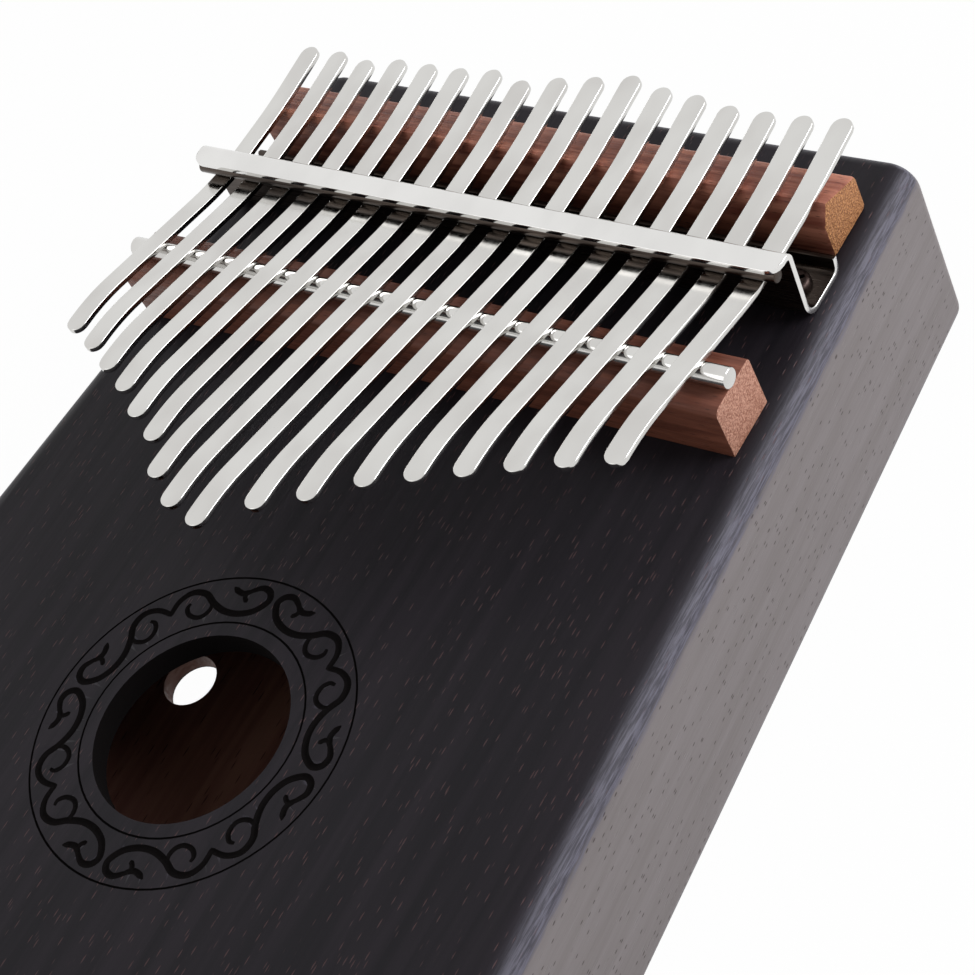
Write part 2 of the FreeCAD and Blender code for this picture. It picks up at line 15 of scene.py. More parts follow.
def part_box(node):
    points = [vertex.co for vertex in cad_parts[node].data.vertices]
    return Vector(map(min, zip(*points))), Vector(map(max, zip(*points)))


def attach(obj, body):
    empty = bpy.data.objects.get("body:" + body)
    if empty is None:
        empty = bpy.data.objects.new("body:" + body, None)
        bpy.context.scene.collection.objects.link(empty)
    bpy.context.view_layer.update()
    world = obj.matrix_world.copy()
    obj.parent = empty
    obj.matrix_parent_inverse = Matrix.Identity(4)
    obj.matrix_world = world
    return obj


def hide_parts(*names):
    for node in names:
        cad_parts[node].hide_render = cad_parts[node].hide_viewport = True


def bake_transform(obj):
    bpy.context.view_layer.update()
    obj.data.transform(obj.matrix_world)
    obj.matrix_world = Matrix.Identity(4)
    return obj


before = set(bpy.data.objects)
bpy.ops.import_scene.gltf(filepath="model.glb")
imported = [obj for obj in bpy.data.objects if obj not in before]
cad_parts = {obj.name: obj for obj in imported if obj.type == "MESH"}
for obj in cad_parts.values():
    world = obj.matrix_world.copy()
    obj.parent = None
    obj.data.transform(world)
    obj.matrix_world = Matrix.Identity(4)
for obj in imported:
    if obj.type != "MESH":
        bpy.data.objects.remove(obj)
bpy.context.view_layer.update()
MM = 0.001
print("CAD nodes:", len(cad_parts))

# %% [markdown]
# ## Sizes that several pieces share
# A strip of steel that lies where the CAD tine lies needs the same rod, slope and bend radii.

# %% Shared sizes
BOARD_TOP = 35.7
TINE_PITCH, TINE_WIDTH, TINE_THICKNESS = 6.62, 3.6, 1.0
ROD_Y, ROD_Z, ROD_RADIUS = 36.4, BOARD_TOP + 12.05, 1.65
CLEARANCE = 0.05
TINE_SLOPE = math.radians(12.2)
HOLE_Y, HOLE_RADIUS = -36.3, 16.2
REAR_HALF_WIDTH, REAR_EDGE = 60.1, 90.85
SIDE_SLOPE = (141.8 - 120.2) / 2 / 181.7

# %% [markdown]
# ## Colours
# Colours are written as the eye reads them, in sRGB hex. The renderer mixes linear values, so
# each hex goes through one function. Typing linear values by hand would work too, but nobody can
# read a colour from them.

# %% Colours in sRGB hex
def linear(hex_colour):
    channels = [int(hex_colour[i:i + 2], 16) / 255 for i in (1, 3, 5)]
    return tuple(c / 12.92 if c <= 0.04045 else ((c + 0.055) / 1.055) ** 2.4 for c in channels) + (1,)


print("mid grey in linear light:", [round(c, 3) for c in linear("#808080")])

# %% [markdown]
# ## Shader nodes
# A material is a tree of nodes. The trees could be built by hand in the shader editor; here one
# function adds a node of any kind, with its settings and its links, so every finish below reads
# like a recipe. The short helpers after it name the steps that all the finishes use.

# %% Add a node, start a material
def add(tree, kind, inputs=None, **settings):
    """Adds a node. Keys of inputs are socket names or numbers; a socket as a value is linked."""
    node = tree.nodes.new(kind)
    for name, value in settings.items():
        setattr(node, name, value)
    for key, value in (inputs or {}).items():
        if isinstance(value, bpy.types.NodeSocket):
            tree.links.new(value, node.inputs[key])
        else:
            node.inputs[key].default_value = value
    return node


def new_material(name):
    material = bpy.data.materials.new(name)
    material.use_nodes = True
    material.node_tree.nodes.clear()
    return material, material.node_tree


# %% Patterns and sums
def stretched(tree, x_mm, y_mm, z_mm, turn=(0, 0, 0)):
    """Object coordinates, scaled so that one pattern cell is this many millimetres each way."""
    coordinates = add(tree, "ShaderNodeTexCoord")
    return add(tree, "ShaderNodeMapping", {
        "Vector": coordinates.outputs["Object"], "Rotation": turn,
        "Scale": (1000 / x_mm, 1000 / y_mm, 1000 / z_mm),
    }).outputs[0]


def noise(tree, vector, detail=3.0, roughness=0.55, distortion=0.0):
    return add(tree, "ShaderNodeTexNoise", {
        "Vector": vector, "Scale": 1.0, "Detail": detail, "Roughness": roughness, "Distortion": distortion,
    }).outputs["Fac"]


def ramp(tree, value, low, high, to_low=0.0, to_high=1.0):
    return add(tree, "ShaderNodeMapRange", {
        "Value": value, "From Min": low, "From Max": high, "To Min": to_low, "To Max": to_high,
    }, interpolation_type="SMOOTHSTEP").outputs[0]


def maths(tree, operation, first, second=0.0):
    return add(tree, "ShaderNodeMath", {0: first, 1: second}, operation=operation).outputs[0]


def blend_colours(tree, share, first, second):
    # Sockets 0, 6 and 7 of a Mix node are its factor and its two colours, and output 2 is the mix.
    return add(tree, "ShaderNodeMix", {0: share, 6: first, 7: second}, data_type="RGBA").outputs[2]


# %% Surface and bump
def surface(tree, **inputs):
    sockets = {key.replace("_", " "): value for key, value in inputs.items()}
    shader = add(tree, "ShaderNodeBsdfPrincipled", sockets)
    add(tree, "ShaderNodeOutputMaterial", {"Surface": shader.outputs[0]})


def bumped(tree, height, distance_mm, strength=1.0):
    return add(tree, "ShaderNodeBump", {
        "Height": height, "Strength": strength, "Distance": distance_mm * MM,
    }).outputs[0]


# %% [markdown]
# ## Bright nickel plate
# Tines, front rod and bracket are steel with a bright nickel plate: a warm grey mirror, a little
# blurred by polishing lines that run along the piece. The lines could be an image map. A noise
# stretched along the piece does it without one: it drives the roughness, and a bump far too
# shallow to show as anything but a soft shimmer.

# %% Metal finishes
def metal_finish(name, line_mm, roughness, tone=("#d5d4d1", "#cac8c5")):
    material, tree = new_material(name)
    lines = noise(tree, stretched(tree, *line_mm), detail=2.0)
    clouds = noise(tree, stretched(tree, 9, 14, 9), detail=2.0)
    rough = maths(tree, "ADD", ramp(tree, lines, 0.3, 0.7, roughness * 0.7, roughness * 1.3),
                  ramp(tree, clouds, 0.35, 0.7, 0.0, 0.05))
    colour = blend_colours(tree, ramp(tree, clouds, 0.3, 0.75), linear(tone[0]), linear(tone[1]))
    surface(tree, Base_Color=colour, Metallic=1.0, Roughness=rough, Normal=bumped(tree, lines, 0.004, 0.5))
    return material


# Plated spring steel: a near mirror with lines along the tine.
PLATED_TINE = metal_finish("nickel_plated_spring_steel", (0.25, 12, 0.25), 0.11)
# Plated sheet: the brightest metal here, with its lines across the instrument.
PLATED_SHEET = metal_finish("nickel_plated_folded_sheet", (14, 0.3, 0.3), 0.13, ("#e4e3e1", "#dcdbd9"))
# Plated drawn rod: an even mirror that makes one long highlight.
PLATED_ROD = metal_finish("nickel_plated_rod", (0.5, 0.5, 0.5), 0.12)
# Painted shade and reflection: a rougher plate with a dark brown colour painted on, for the inside of the
# folds and the rod in them. It stands for the dark hollow which those sides mirror; the real plate is the
# same bright nickel there.
PAINTED_FOLD_SHADE = metal_finish("painted_shade_and_reflection_in_folds", (14, 0.3, 0.3), 0.3, ("#4f4640", "#3d3632"))
# Black oxide on steel: nearly black, with a soft sheen.
BLACK_SCREW = metal_finish("black_oxide_screw_steel", (0.4, 0.4, 0.4), 0.4, ("#3a302d", "#2a2422"))
METALS = (PLATED_TINE, PLATED_SHEET, PLATED_ROD, PAINTED_FOLD_SHADE, BLACK_SCREW)
print("metals:", [metal.name for metal in METALS])

# %% [markdown]
# ## Open pores
# The box is mahogany, which has open pores that show as short dashes along the grain. They could
# be single scratches in the mesh, but there are thousands. A Voronoi pattern gives one cell to
# each; the cells are stretched along the grain, and only a share of them is kept.

# %% Pore patterns
def kept_cores(tree, cells, share, fade):
    """1 in the middle of a cell, for the share of cells whose random colour is high enough."""
    core = ramp(tree, cells.outputs["Distance"], 0.12, 0.3, 1.0, 0.0)
    chance = add(tree, "ShaderNodeSeparateColor", {0: cells.outputs["Color"]}).outputs[0]
    return maths(tree, "MULTIPLY", core, ramp(tree, chance, 1 - share, 1 - share + fade))


def pore_dashes(tree, across_mm, along_mm, share, axis="Y"):
    """Short dashes along the grain: narrow cells of a Voronoi pattern, of which only a share is kept."""
    sizes = {"Y": (across_mm, along_mm, across_mm), "X": (along_mm, across_mm, across_mm)}[axis]
    cells = add(tree, "ShaderNodeTexVoronoi", {"Vector": stretched(tree, *sizes), "Scale": 1.0})
    return kept_cores(tree, cells, share, 0.08)


def position_parts(tree):
    coordinates = add(tree, "ShaderNodeTexCoord")
    split = add(tree, "ShaderNodeSeparateXYZ", {0: coordinates.outputs["Object"]})
    return split.outputs[0], split.outputs[1], split.outputs[2]


def wall_specks(tree, share):
    """Short dark pores on the four walls, laid out on the wall itself: round the box by height."""
    x, y, z = position_parts(tree)
    along_mm, across_mm = 1.7, 0.6
    around = maths(tree, "MULTIPLY", maths(tree, "ADD", x, y), 1000 / along_mm)
    height = maths(tree, "MULTIPLY", z, 1000 / across_mm)
    place = add(tree, "ShaderNodeCombineXYZ", {0: around, 1: height}).outputs[0]
    cells = add(tree, "ShaderNodeTexVoronoi", {"Vector": place, "Scale": 1.0}, voronoi_dimensions="2D")
    return kept_cores(tree, cells, share, 0.02)


# %% [markdown]
# ## Inside or outside
# The outside is stained and the inside is bare. The faces could be sorted by hand in edit mode.
# The box has straight walls, so a sum on the position finds the inside and needs no sorting.

# %% Bare inside
def inside_box(tree):
    """1 where the point is more than 3 mm in from the outer faces, below the board's top."""
    x, y, z = position_parts(tree)
    middle_half_width = REAR_HALF_WIDTH + REAR_EDGE * SIDE_SLOPE
    taper = maths(tree, "MULTIPLY", y, SIDE_SLOPE)
    half = maths(tree, "SUBTRACT", (middle_half_width - 3) * MM, taper)
    clear_side = maths(tree, "GREATER_THAN", maths(tree, "SUBTRACT", half, maths(tree, "ABSOLUTE", x)), 0.0)
    clear_end = maths(tree, "LESS_THAN", maths(tree, "ABSOLUTE", y), (REAR_EDGE - 3) * MM)
    under = maths(tree, "LESS_THAN", z, (BOARD_TOP - 0.9) * MM)
    above = maths(tree, "GREATER_THAN", z, 0.4 * MM)
    clear_of_walls = maths(tree, "MULTIPLY", clear_side, clear_end)
    return maths(tree, "MULTIPLY", clear_of_walls, maths(tree, "MULTIPLY", under, above))


def raw_mahogany_colour(tree):
    figure = noise(tree, stretched(tree, 2.5, 60, 2.5), detail=4.0, distortion=0.4)
    bare = blend_colours(tree, ramp(tree, figure, 0.3, 0.7), linear("#7b5145"), linear("#966b5a"))
    return blend_colours(tree, pore_dashes(tree, 0.6, 5, 0.5), bare, linear("#4c2c24"))


# %% [markdown]
# ## Stained mahogany
# The stain is black-brown and satin. It leaves the pores reddish on the top and dark on the
# walls. The walls are painted a paler grey, a painted sheen that stands in for the light from the
# right which they mirror; the stain is the same all round. The rounded edge between them has
# blue-grey streaks, a painted highlight. Three materials with painted borders could do this. One material
# that reads the way the surface faces gives borders that follow the rounding by themselves.

# %% Stained outside colour
def top_stain_and_painted_highlight(tree, figure, pores, painted_shoulder_highlight):
    top = blend_colours(tree, ramp(tree, figure, 0.3, 0.7), linear("#1b191d"), linear("#272328"))
    top = blend_colours(tree, maths(tree, "MULTIPLY", pores, 0.5), top, linear("#664b4b"))
    # Painted highlight: blue-grey streaks on the rounded edge stand in for the softbox's reflection.
    return blend_colours(tree, maths(tree, "MULTIPLY", painted_shoulder_highlight, 0.8), top, linear("#6f6d79"))


def wall_tone_and_painted_sheen(tree, figure):
    # Painted sheen: the paler grey of the walls stands in for the light from the right that they mirror.
    wall = blend_colours(tree, ramp(tree, figure, 0.3, 0.7), linear("#706a69"), linear("#787272"))
    specks = maths(tree, "MULTIPLY", wall_specks(tree, 0.13), 0.85)
    return blend_colours(tree, specks, wall, linear("#3c3331"))


def outside_stain_and_painted_light(tree, figure, pores):
    streaks = noise(tree, stretched(tree, 0.3, 7, 0.3), detail=4.0, roughness=0.65)
    facing = add(tree, "ShaderNodeTexCoord").outputs["Normal"]
    upward = add(tree, "ShaderNodeSeparateXYZ", {0: facing}).outputs[2]
    # Mask for the painted highlight on the rounded edge, broken into streaks along the grain.
    painted_shoulder_highlight = maths(tree, "MULTIPLY", ramp(tree, upward, 0.97, 0.6, 0.0, 1.0),
                     ramp(tree, streaks, 0.38, 0.62, 0.35, 1.0))
    ragged = maths(tree, "ADD", maths(tree, "ABSOLUTE", upward), ramp(tree, streaks, 0.35, 0.65, -0.06, 0.06))
    top = top_stain_and_painted_highlight(tree, figure, pores, painted_shoulder_highlight)
    # Where the surface turns from up to sideways, the walls get the painted sheen colour.
    wall_share = ramp(tree, ragged, 0.42, 0.2, 0.0, 1.0)
    return blend_colours(tree, wall_share, top, wall_tone_and_painted_sheen(tree, figure))


# %% Stained shell
def stained_mahogany(name):
    """Satin stain over open grain: near-black top, walls painted paler grey as a painted sheen, painted
    highlight streaks on the rounded edge, bare inside.
    """
    material, tree = new_material(name)
    figure = noise(tree, stretched(tree, 3.5, 90, 3.5), detail=4.0, distortion=0.3)
    fine = noise(tree, stretched(tree, 0.5, 14, 0.5), detail=3.0)
    pores = pore_dashes(tree, 0.45, 3.2, 0.45)
    outside = outside_stain_and_painted_light(tree, figure, pores)
    inside = inside_box(tree)
    rough = maths(tree, "ADD", ramp(tree, fine, 0.3, 0.7, 0.36, 0.5), maths(tree, "MULTIPLY", inside, 0.3))
    relief = maths(tree, "SUBTRACT", maths(tree, "MULTIPLY", fine, 0.7), pores)
    surface(tree, Base_Color=blend_colours(tree, inside, outside, raw_mahogany_colour(tree)),
            Roughness=rough, Specular_IOR_Level=0.13, Normal=bumped(tree, relief, 0.06, 0.8))
    return material


# %% [markdown]
# ## The other box woods
# The block is bare, the back is stained on its outer face only, and the engraving and the wall
# of the sound hole are burnt black and matt. Each could be a plain colour, but bare wood and
# soot both need some pattern to look like themselves, so each has its own small recipe.

# %% Bare, back and burnt wood
def bare_mahogany(name):
    """Planed wood without a finish: matt and reddish."""
    material, tree = new_material(name)
    fine = noise(tree, stretched(tree, 0.4, 10, 0.4), detail=3.0)
    surface(tree, Base_Color=raw_mahogany_colour(tree), Roughness=0.75, Normal=bumped(tree, fine, 0.05, 0.8))
    return material


def back_mahogany(name):
    """Satin stain on the outer face; bare and matt on the inner face and in the finger holes."""
    material, tree = new_material(name)
    figure = noise(tree, stretched(tree, 3.0, 80, 3.0), detail=4.0, distortion=0.3)
    stained = blend_colours(tree, ramp(tree, figure, 0.3, 0.7), linear("#262122"), linear("#383031"))
    pores = maths(tree, "MULTIPLY", pore_dashes(tree, 0.75, 4, 0.4), 0.6)
    stained = blend_colours(tree, pores, stained, linear("#141011"))
    _, _, z = position_parts(tree)
    bare = maths(tree, "GREATER_THAN", z, 0.25 * MM)
    fine = noise(tree, stretched(tree, 0.4, 12, 0.4), detail=3.0)
    surface(tree, Base_Color=blend_colours(tree, bare, stained, raw_mahogany_colour(tree)),
            Roughness=ramp(tree, fine, 0.3, 0.7, 0.45, 0.7), Specular_IOR_Level=0.3,
            Normal=bumped(tree, fine, 0.05, 0.8))
    return material


def laser_burnt_wood(name):
    """Charred floors of the engraving and the blackened wall of the sound hole: matt, next to no gloss."""
    material, tree = new_material(name)
    soot = noise(tree, stretched(tree, 0.4, 0.4, 0.4), detail=3.0)
    surface(tree, Base_Color=blend_colours(tree, soot, linear("#090808"), linear("#141111")),
            Roughness=ramp(tree, soot, 0.3, 0.7, 0.75, 0.95), Specular_IOR_Level=0.04,
            Normal=bumped(tree, soot, 0.05, 0.6))
    return material


BURNT = laser_burnt_wood("laser_burnt_wood")
STAINED = stained_mahogany("stained_mahogany_satin_painted_sheen")
STAINED_BACK = back_mahogany("stained_mahogany_outer_back")
BARE = bare_mahogany("bare_mahogany")
print("box woods:", [wood.name for wood in (STAINED, STAINED_BACK, BARE, BURNT)])

# %% [markdown]
# ## Bridge hardwood
# Both bridges are an oiled red-brown hardwood with the grain along X, so their ends show end
# grain: a speckle of cut pores, paler and rougher than the long faces. The rear bridge was
# only sawn, so its ends are torn. The ends could have a material of their own; a mask from the
# way the surface faces does the same and turns with the rounded edges.

# %% Bridge hardwood
def hardwood(name, dark, light, end_dark, end_light, tear_mm):
    """Oiled hardwood: a low sheen along the grain, a rough speckle on the ends."""
    material, tree = new_material(name)
    figure = noise(tree, stretched(tree, 30, 1.6, 1.6), detail=4.0, distortion=0.5)
    fine = noise(tree, stretched(tree, 6, 0.3, 0.3), detail=3.0)
    pores = pore_dashes(tree, 0.45, 2.4, 0.5, axis="X")
    long_face = blend_colours(tree, ramp(tree, figure, 0.3, 0.7), linear(dark), linear(light))
    long_face = blend_colours(tree, maths(tree, "MULTIPLY", pores, 0.6), long_face, linear("#3a1c16"))
    speckle = noise(tree, stretched(tree, 0.32, 0.32, 0.32), detail=4.0, roughness=0.7)
    cut = blend_colours(tree, ramp(tree, speckle, 0.35, 0.65), linear(end_dark), linear(end_light))
    normal = add(tree, "ShaderNodeTexCoord").outputs["Normal"]
    sideways = add(tree, "ShaderNodeSeparateXYZ", {0: normal}).outputs[0]
    end_grain = ramp(tree, maths(tree, "ABSOLUTE", sideways), 0.75, 0.9)
    tearing = noise(tree, stretched(tree, 0.7, 0.7, 0.7), detail=5.0, roughness=0.65)
    relief = maths(tree, "ADD", maths(tree, "MULTIPLY", fine, 0.1),
                   maths(tree, "MULTIPLY", maths(tree, "MULTIPLY", tearing, end_grain), tear_mm))
    surface(tree, Base_Color=blend_colours(tree, end_grain, long_face, cut),
            Roughness=ramp(tree, fine, 0.3, 0.7, 0.45, 0.62), Specular_IOR_Level=0.4,
            Normal=bumped(tree, relief, 1.0, 1.0))
    return material


FRONT_HARDWOOD = hardwood("oiled_red_hardwood", "#623527", "#86503d", "#85523e", "#c6957f", 0.2)
REAR_HARDWOOD = hardwood("sawn_red_hardwood", "#7f4232", "#bd7b63", "#77421f", "#d29560", 0.8)

# %% [markdown]
# ## Turning a bmesh into a finished piece
# Real pieces mix round faces and crisp edges. A Weighted Normal modifier or custom normals could
# show that. Marking the edges whose faces meet at more than a set angle is simpler, and it stays
# with the mesh when it is exported.

# %% Finishing helper
def finished(bm, name, material, sharp_degrees=35):
    bmesh.ops.recalc_face_normals(bm, faces=bm.faces[:])
    limit = math.radians(sharp_degrees)
    for face in bm.faces:
        face.smooth = True
    for edge in bm.edges:
        edge.smooth = not (edge.is_manifold and edge.calc_face_angle(0) > limit)
    mesh = bpy.data.meshes.new(name)
    bm.to_mesh(mesh)
    bm.free()
    mesh.materials.append(material)
    piece = bpy.data.objects.new(name, mesh)
    bpy.context.collection.objects.link(piece)
    return piece


# %% [markdown]
# ## A line with rounded corners
# A tine and the folded bracket are both flat sheet bent along a line. The line is a few
# corners in the plane of Y and Z, each with a bend radius. A curve object with a bevel could
# follow it, but it can't have windows or rounded ends cut in it. So `bent_line` walks along the
# line and notes the point and heading at even steps, as a bender marks out a strip.

# %% Mark out a bent line
def bent_line(corners, radii, step=0.7, arc_step_degrees=2.0):
    """Rows of (distance, y, z, heading) along the corners, with a radius for each one between the ends."""
    rows = []
    headings = [math.atan2(b[1] - a[1], b[0] - a[0]) for a, b in zip(corners, corners[1:])]
    turns = [(b - a + math.pi) % (2 * math.pi) - math.pi for a, b in zip(headings, headings[1:])]
    cuts = [0.0] + [radius * math.tan(abs(turn) / 2) for radius, turn in zip(radii, turns)] + [0.0]
    y, z = corners[0]
    distance = 0.0
    for number, heading in enumerate(headings):
        a, b = corners[number], corners[number + 1]
        length = math.dist(a, b) - cuts[number] - cuts[number + 1]
        pieces = max(1, math.ceil(length / step))
        for k in range(pieces):
            rows.append((distance + length * k / pieces, y + math.cos(heading) * length * k / pieces,
                         z + math.sin(heading) * length * k / pieces, heading))
        y, z, distance = y + math.cos(heading) * length, z + math.sin(heading) * length, distance + length
        if number < len(turns):
            turn, radius = turns[number], radii[number]
            side = math.copysign(1, turn)
            centre = (y - side * radius * math.sin(heading), z + side * radius * math.cos(heading))
            pieces = max(3, math.ceil(math.degrees(abs(turn)) / arc_step_degrees))
            for k in range(pieces):
                at = heading + turn * k / pieces
                rows.append((distance + radius * abs(turn) * k / pieces,
                             centre[0] + side * radius * math.sin(at),
                             centre[1] - side * radius * math.cos(at), at))
            at = heading + turn
            y, z = centre[0] + side * radius * math.sin(at), centre[1] - side * radius * math.cos(at)
            distance += radius * abs(turn)
    rows.append((distance, y, z, headings[-1]))
    return rows


# %% [markdown]
# ## Cut, thicken and bend
# A metalworker cuts a flat blank, then bends it. The same order works here: a grid is cut while
# it is flat and easy to measure, extruded to its thickness, bevelled round its rim, and wrapped
# round the line last.

# %% Flat blank to bent sheet
def flat_blank(columns, lines):
    """A flat grid whose vertical lines stand at the given x and whose rows lie at the given distances."""
    bm = bmesh.new()
    bmesh.ops.create_grid(bm, x_segments=len(columns) - 1, y_segments=len(lines) - 1, size=0.5)
    for vert in bm.verts:
        column = round((vert.co.x + 0.5) * (len(columns) - 1))
        line = round((vert.co.y + 0.5) * (len(lines) - 1))
        vert.co = Vector((columns[column], lines[line], 0))
    return bm


def thicken(bm, thickness, edge_round):
    raised = bmesh.ops.extrude_face_region(bm, geom=bm.faces[:], use_keep_orig=True)
    verts = [item for item in raised["geom"] if isinstance(item, bmesh.types.BMVert)]
    bmesh.ops.translate(bm, verts=verts, vec=(0, 0, thickness))
    bmesh.ops.recalc_face_normals(bm, faces=bm.faces[:])
    rim = [edge for edge in bm.edges if edge.is_manifold and edge.calc_face_angle() > 1.0
           and abs(edge.verts[0].co.z - edge.verts[1].co.z) < thickness / 2]
    bmesh.ops.bevel(bm, geom=rim, offset=edge_round, segments=3, profile=0.5, affect="EDGES", material=-1)


def bend_sheet(bm, rows):
    """Wraps a flat blank round the line: y becomes distance along it, z stands off to its left."""
    for vert in bm.verts:
        distance = min(max(vert.co.y, 0.0), rows[-1][0])
        low, high = 0, len(rows) - 1
        while high - low > 1:
            middle = (low + high) // 2
            low, high = (middle, high) if rows[middle][0] <= distance else (low, middle)
        share = (distance - rows[low][0]) / (rows[high][0] - rows[low][0])
        y, z, heading = (rows[low][k] + (rows[high][k] - rows[low][k]) * share for k in (1, 2, 3))
        stand = vert.co.z
        vert.co = Vector((vert.co.x, y - stand * math.sin(heading), z + stand * math.cos(heading))) * MM


# %% [markdown]
# ## The tines
# Each tine is one strip of spring steel: held down between the bridges, rising over the front
# rod, and levelled off at the plucked tip. Both ends are cut to a half round. It could be left as
# the two CAD pieces, but those hinge like a door. Here it is one strip that follows the frame
# behind the rod and the tongue in front of it, as the steel does.

# %% Tine sizes
# Note, semitones above the middle tine, what tuning adds to the reach, and Y of the tuning end.
TINES = [
    ("d6", 26, -0.8, 85.3), ("b5", 23, -0.3, 85.2), ("g5", 19, -0.4, 84.3), ("e5", 16, 0.0, 85.4),
    ("c5", 12, 0.0, 85.4), ("a4", 9, 0.0, 85.5), ("f4", 5, 1.2, 86.2), ("d4", 2, 1.2, 84.9),
    ("c4", 0, 0.0, 86.5), ("e4", 4, 0.2, 87.7), ("g4", 7, 0.3, 89.0), ("b4", 11, 0.0, 87.6),
    ("d5", 14, 0.0, 87.1), ("f5", 17, -0.1, 86.0), ("a5", 21, 0.4, 85.9), ("c6", 24, -0.2, 86.2),
    ("e6", 28, 0.0, 86.8),
]
REACH_SCALE, REACH_LOSS = 57.1, 2.9
BEND_RADIUS, TIP_FLAT = 40.0, 3.0
REAR_UNDER, REAR_CURVE_RADIUS = BOARD_TOP + 9.95, 60.0
TAIL_START, TAIL_RADIUS, TAIL_ANGLE = 68.0, 80.0, math.radians(5)


def tine_line(semitones, slide, rear_end):
    """The under side of a tine from its tip to its tuning end."""
    crest = (ROD_Y + (ROD_RADIUS + CLEARANCE) * math.sin(TINE_SLOPE),
             ROD_Z + (ROD_RADIUS + CLEARANCE) * math.cos(TINE_SLOPE))
    reach = REACH_SCALE * 2 ** (-semitones / 24) - REACH_LOSS + slide
    tangent = BEND_RADIUS * math.tan(TINE_SLOPE / 2)
    slope_length = reach - BEND_RADIUS * TINE_SLOPE - TIP_FLAT + tangent
    bend = (crest[0] - slope_length * math.cos(TINE_SLOPE), crest[1] + slope_length * math.sin(TINE_SLOPE))
    tip = (bend[0] - tangent - TIP_FLAT, bend[1])
    dip = (crest[0] + (crest[1] - REAR_UNDER) / math.tan(TINE_SLOPE), REAR_UNDER)
    tail = (TAIL_START + (TAIL_RADIUS + TINE_THICKNESS) * math.tan(TAIL_ANGLE / 2), REAR_UNDER)
    end = (rear_end, REAR_UNDER + (rear_end - tail[0]) * math.tan(TAIL_ANGLE))
    return bent_line([tip, bend, dip, tail, end],
                     [BEND_RADIUS, REAR_CURVE_RADIUS + TINE_THICKNESS, TAIL_RADIUS + TINE_THICKNESS])


# %% Make the tines
def make_tine(number, note, semitones, slide, rear_end):
    rows = tine_line(semitones, slide, rear_end)
    length, half = rows[-1][0], TINE_WIDTH / 2
    spread = [-1, -0.9, -0.74, -0.56, -0.38, -0.19, 0, 0.19, 0.38, 0.56, 0.74, 0.9, 1]
    bm = flat_blank([half * share for share in spread], [row[0] for row in rows])
    for vert in bm.verts:
        cut_back = half * (1 - math.sqrt(1 - (vert.co.x / half) ** 2))
        vert.co.y = cut_back + vert.co.y * (length - 2 * cut_back) / length
    thicken(bm, TINE_THICKNESS, 0.13)
    bend_sheet(bm, rows)
    x = (number - 9) * TINE_PITCH * MM
    bmesh.ops.translate(bm, verts=bm.verts, vec=(x, 0, 0))
    name = f"tine_{number:02d}_{note}"
    tine = finished(bm, name, PLATED_TINE)
    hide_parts(f"{name}_shank", f"{name}_tongue")
    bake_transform(tine)
    return tine


tines = [make_tine(number, *sizes) for number, sizes in enumerate(TINES, 1)]
print("tines:", len(tines), "faces each:", len(tines[0].data.polygons))

# %% [markdown]
# ## The folded bracket
# A strip of plated sheet is folded over the pressing rod: a lip, a slotted wall that the tines
# pass through, a foot on the soundboard, and a rear edge curled up. Booleans could cut the slots
# in a folded shape. Leaving out the windows of a flat grid is cleaner, and every slot then has
# the same bevelled rim as the outline.

# %% Make the bracket
BRACKET_LENGTH, SHEET = 116.2, 1.0
LIP_FRONT, RIDGE, HEEL, FOOT_END, CURL = 54.1, 58.8, 57.9, 67.3, 3.2
SLOT_BOTTOM, SLOT_TOP, SLOT_HALF = BOARD_TOP + 9.2, BOARD_TOP + 12.2, TINE_WIDTH / 2 + 0.4
LIP_CORNER = 2.3


def make_bracket():
    lip_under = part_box("bracket")[1].z / MM - SHEET
    rows = bent_line(
        [(LIP_FRONT, lip_under), (RIDGE - SHEET, lip_under), (HEEL - SHEET, BOARD_TOP),
         (FOOT_END, BOARD_TOP), (FOOT_END + 0.5, BOARD_TOP + CURL)],
        [0.6, 3.0, 1.8], step=0.6, arc_step_degrees=8)
    wall = [row for row in rows if abs(math.cos(row[3])) < 0.2 and row[1] < HEEL]
    top_row, low_row = wall[0], wall[-1]
    fall = (low_row[0] - top_row[0]) / (top_row[2] - low_row[2])
    slot = [top_row[0] + (top_row[2] - z) * fall for z in (SLOT_TOP, SLOT_BOTTOM)]
    away = [row[0] for row in rows if min(abs(row[0] - edge) for edge in slot) > 0.2]
    lines = sorted({round(distance, 4) for distance in away + slot})
    half = BRACKET_LENGTH / 2
    slots = [(number - 8) * TINE_PITCH for number in range(17)]
    edges = [x + side * SLOT_HALF for x in slots for side in (-1, 1)]
    corner = [half - LIP_CORNER * share for share in (0, 0.1, 0.25, 0.45, 0.7, 1.0)]
    columns = sorted(edges + corner + [-x for x in corner])
    bm = flat_blank(columns, lines)
    windows = [face for face in bm.faces
               if slot[0] < face.calc_center_median().y < slot[1]
               and any(abs(face.calc_center_median().x - x) < SLOT_HALF for x in slots)]
    bmesh.ops.delete(bm, geom=windows, context="FACES")
    for vert in bm.verts:
        past = abs(vert.co.x) - (half - LIP_CORNER)
        if past > 0 and vert.co.y < 4:
            cut_back = LIP_CORNER - math.sqrt(max(0.0, LIP_CORNER ** 2 - past ** 2))
            vert.co.y = cut_back + vert.co.y * (4 - cut_back) / 4
    thicken(bm, SHEET, 0.12)
    bend_sheet(bm, rows)
    bracket = finished(bm, "folded_bracket", PLATED_SHEET)
    # Painted shade and reflection: faces inside the fold, below the lip, get the dark painted colour; the
    # real plate is bright nickel there as well.
    bracket.data.materials.append(PAINTED_FOLD_SHADE)
    for face in bracket.data.polygons:
        shaded_fold_face = face.center.z < (lip_under + 0.2) * MM and abs(face.normal.x) < 0.7
        face.material_index = int(shaded_fold_face and face.area > 0.02 * MM * MM)
    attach(bracket, "frame")
    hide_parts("bracket")
    print("bracket windows:", len(windows))
    return bracket


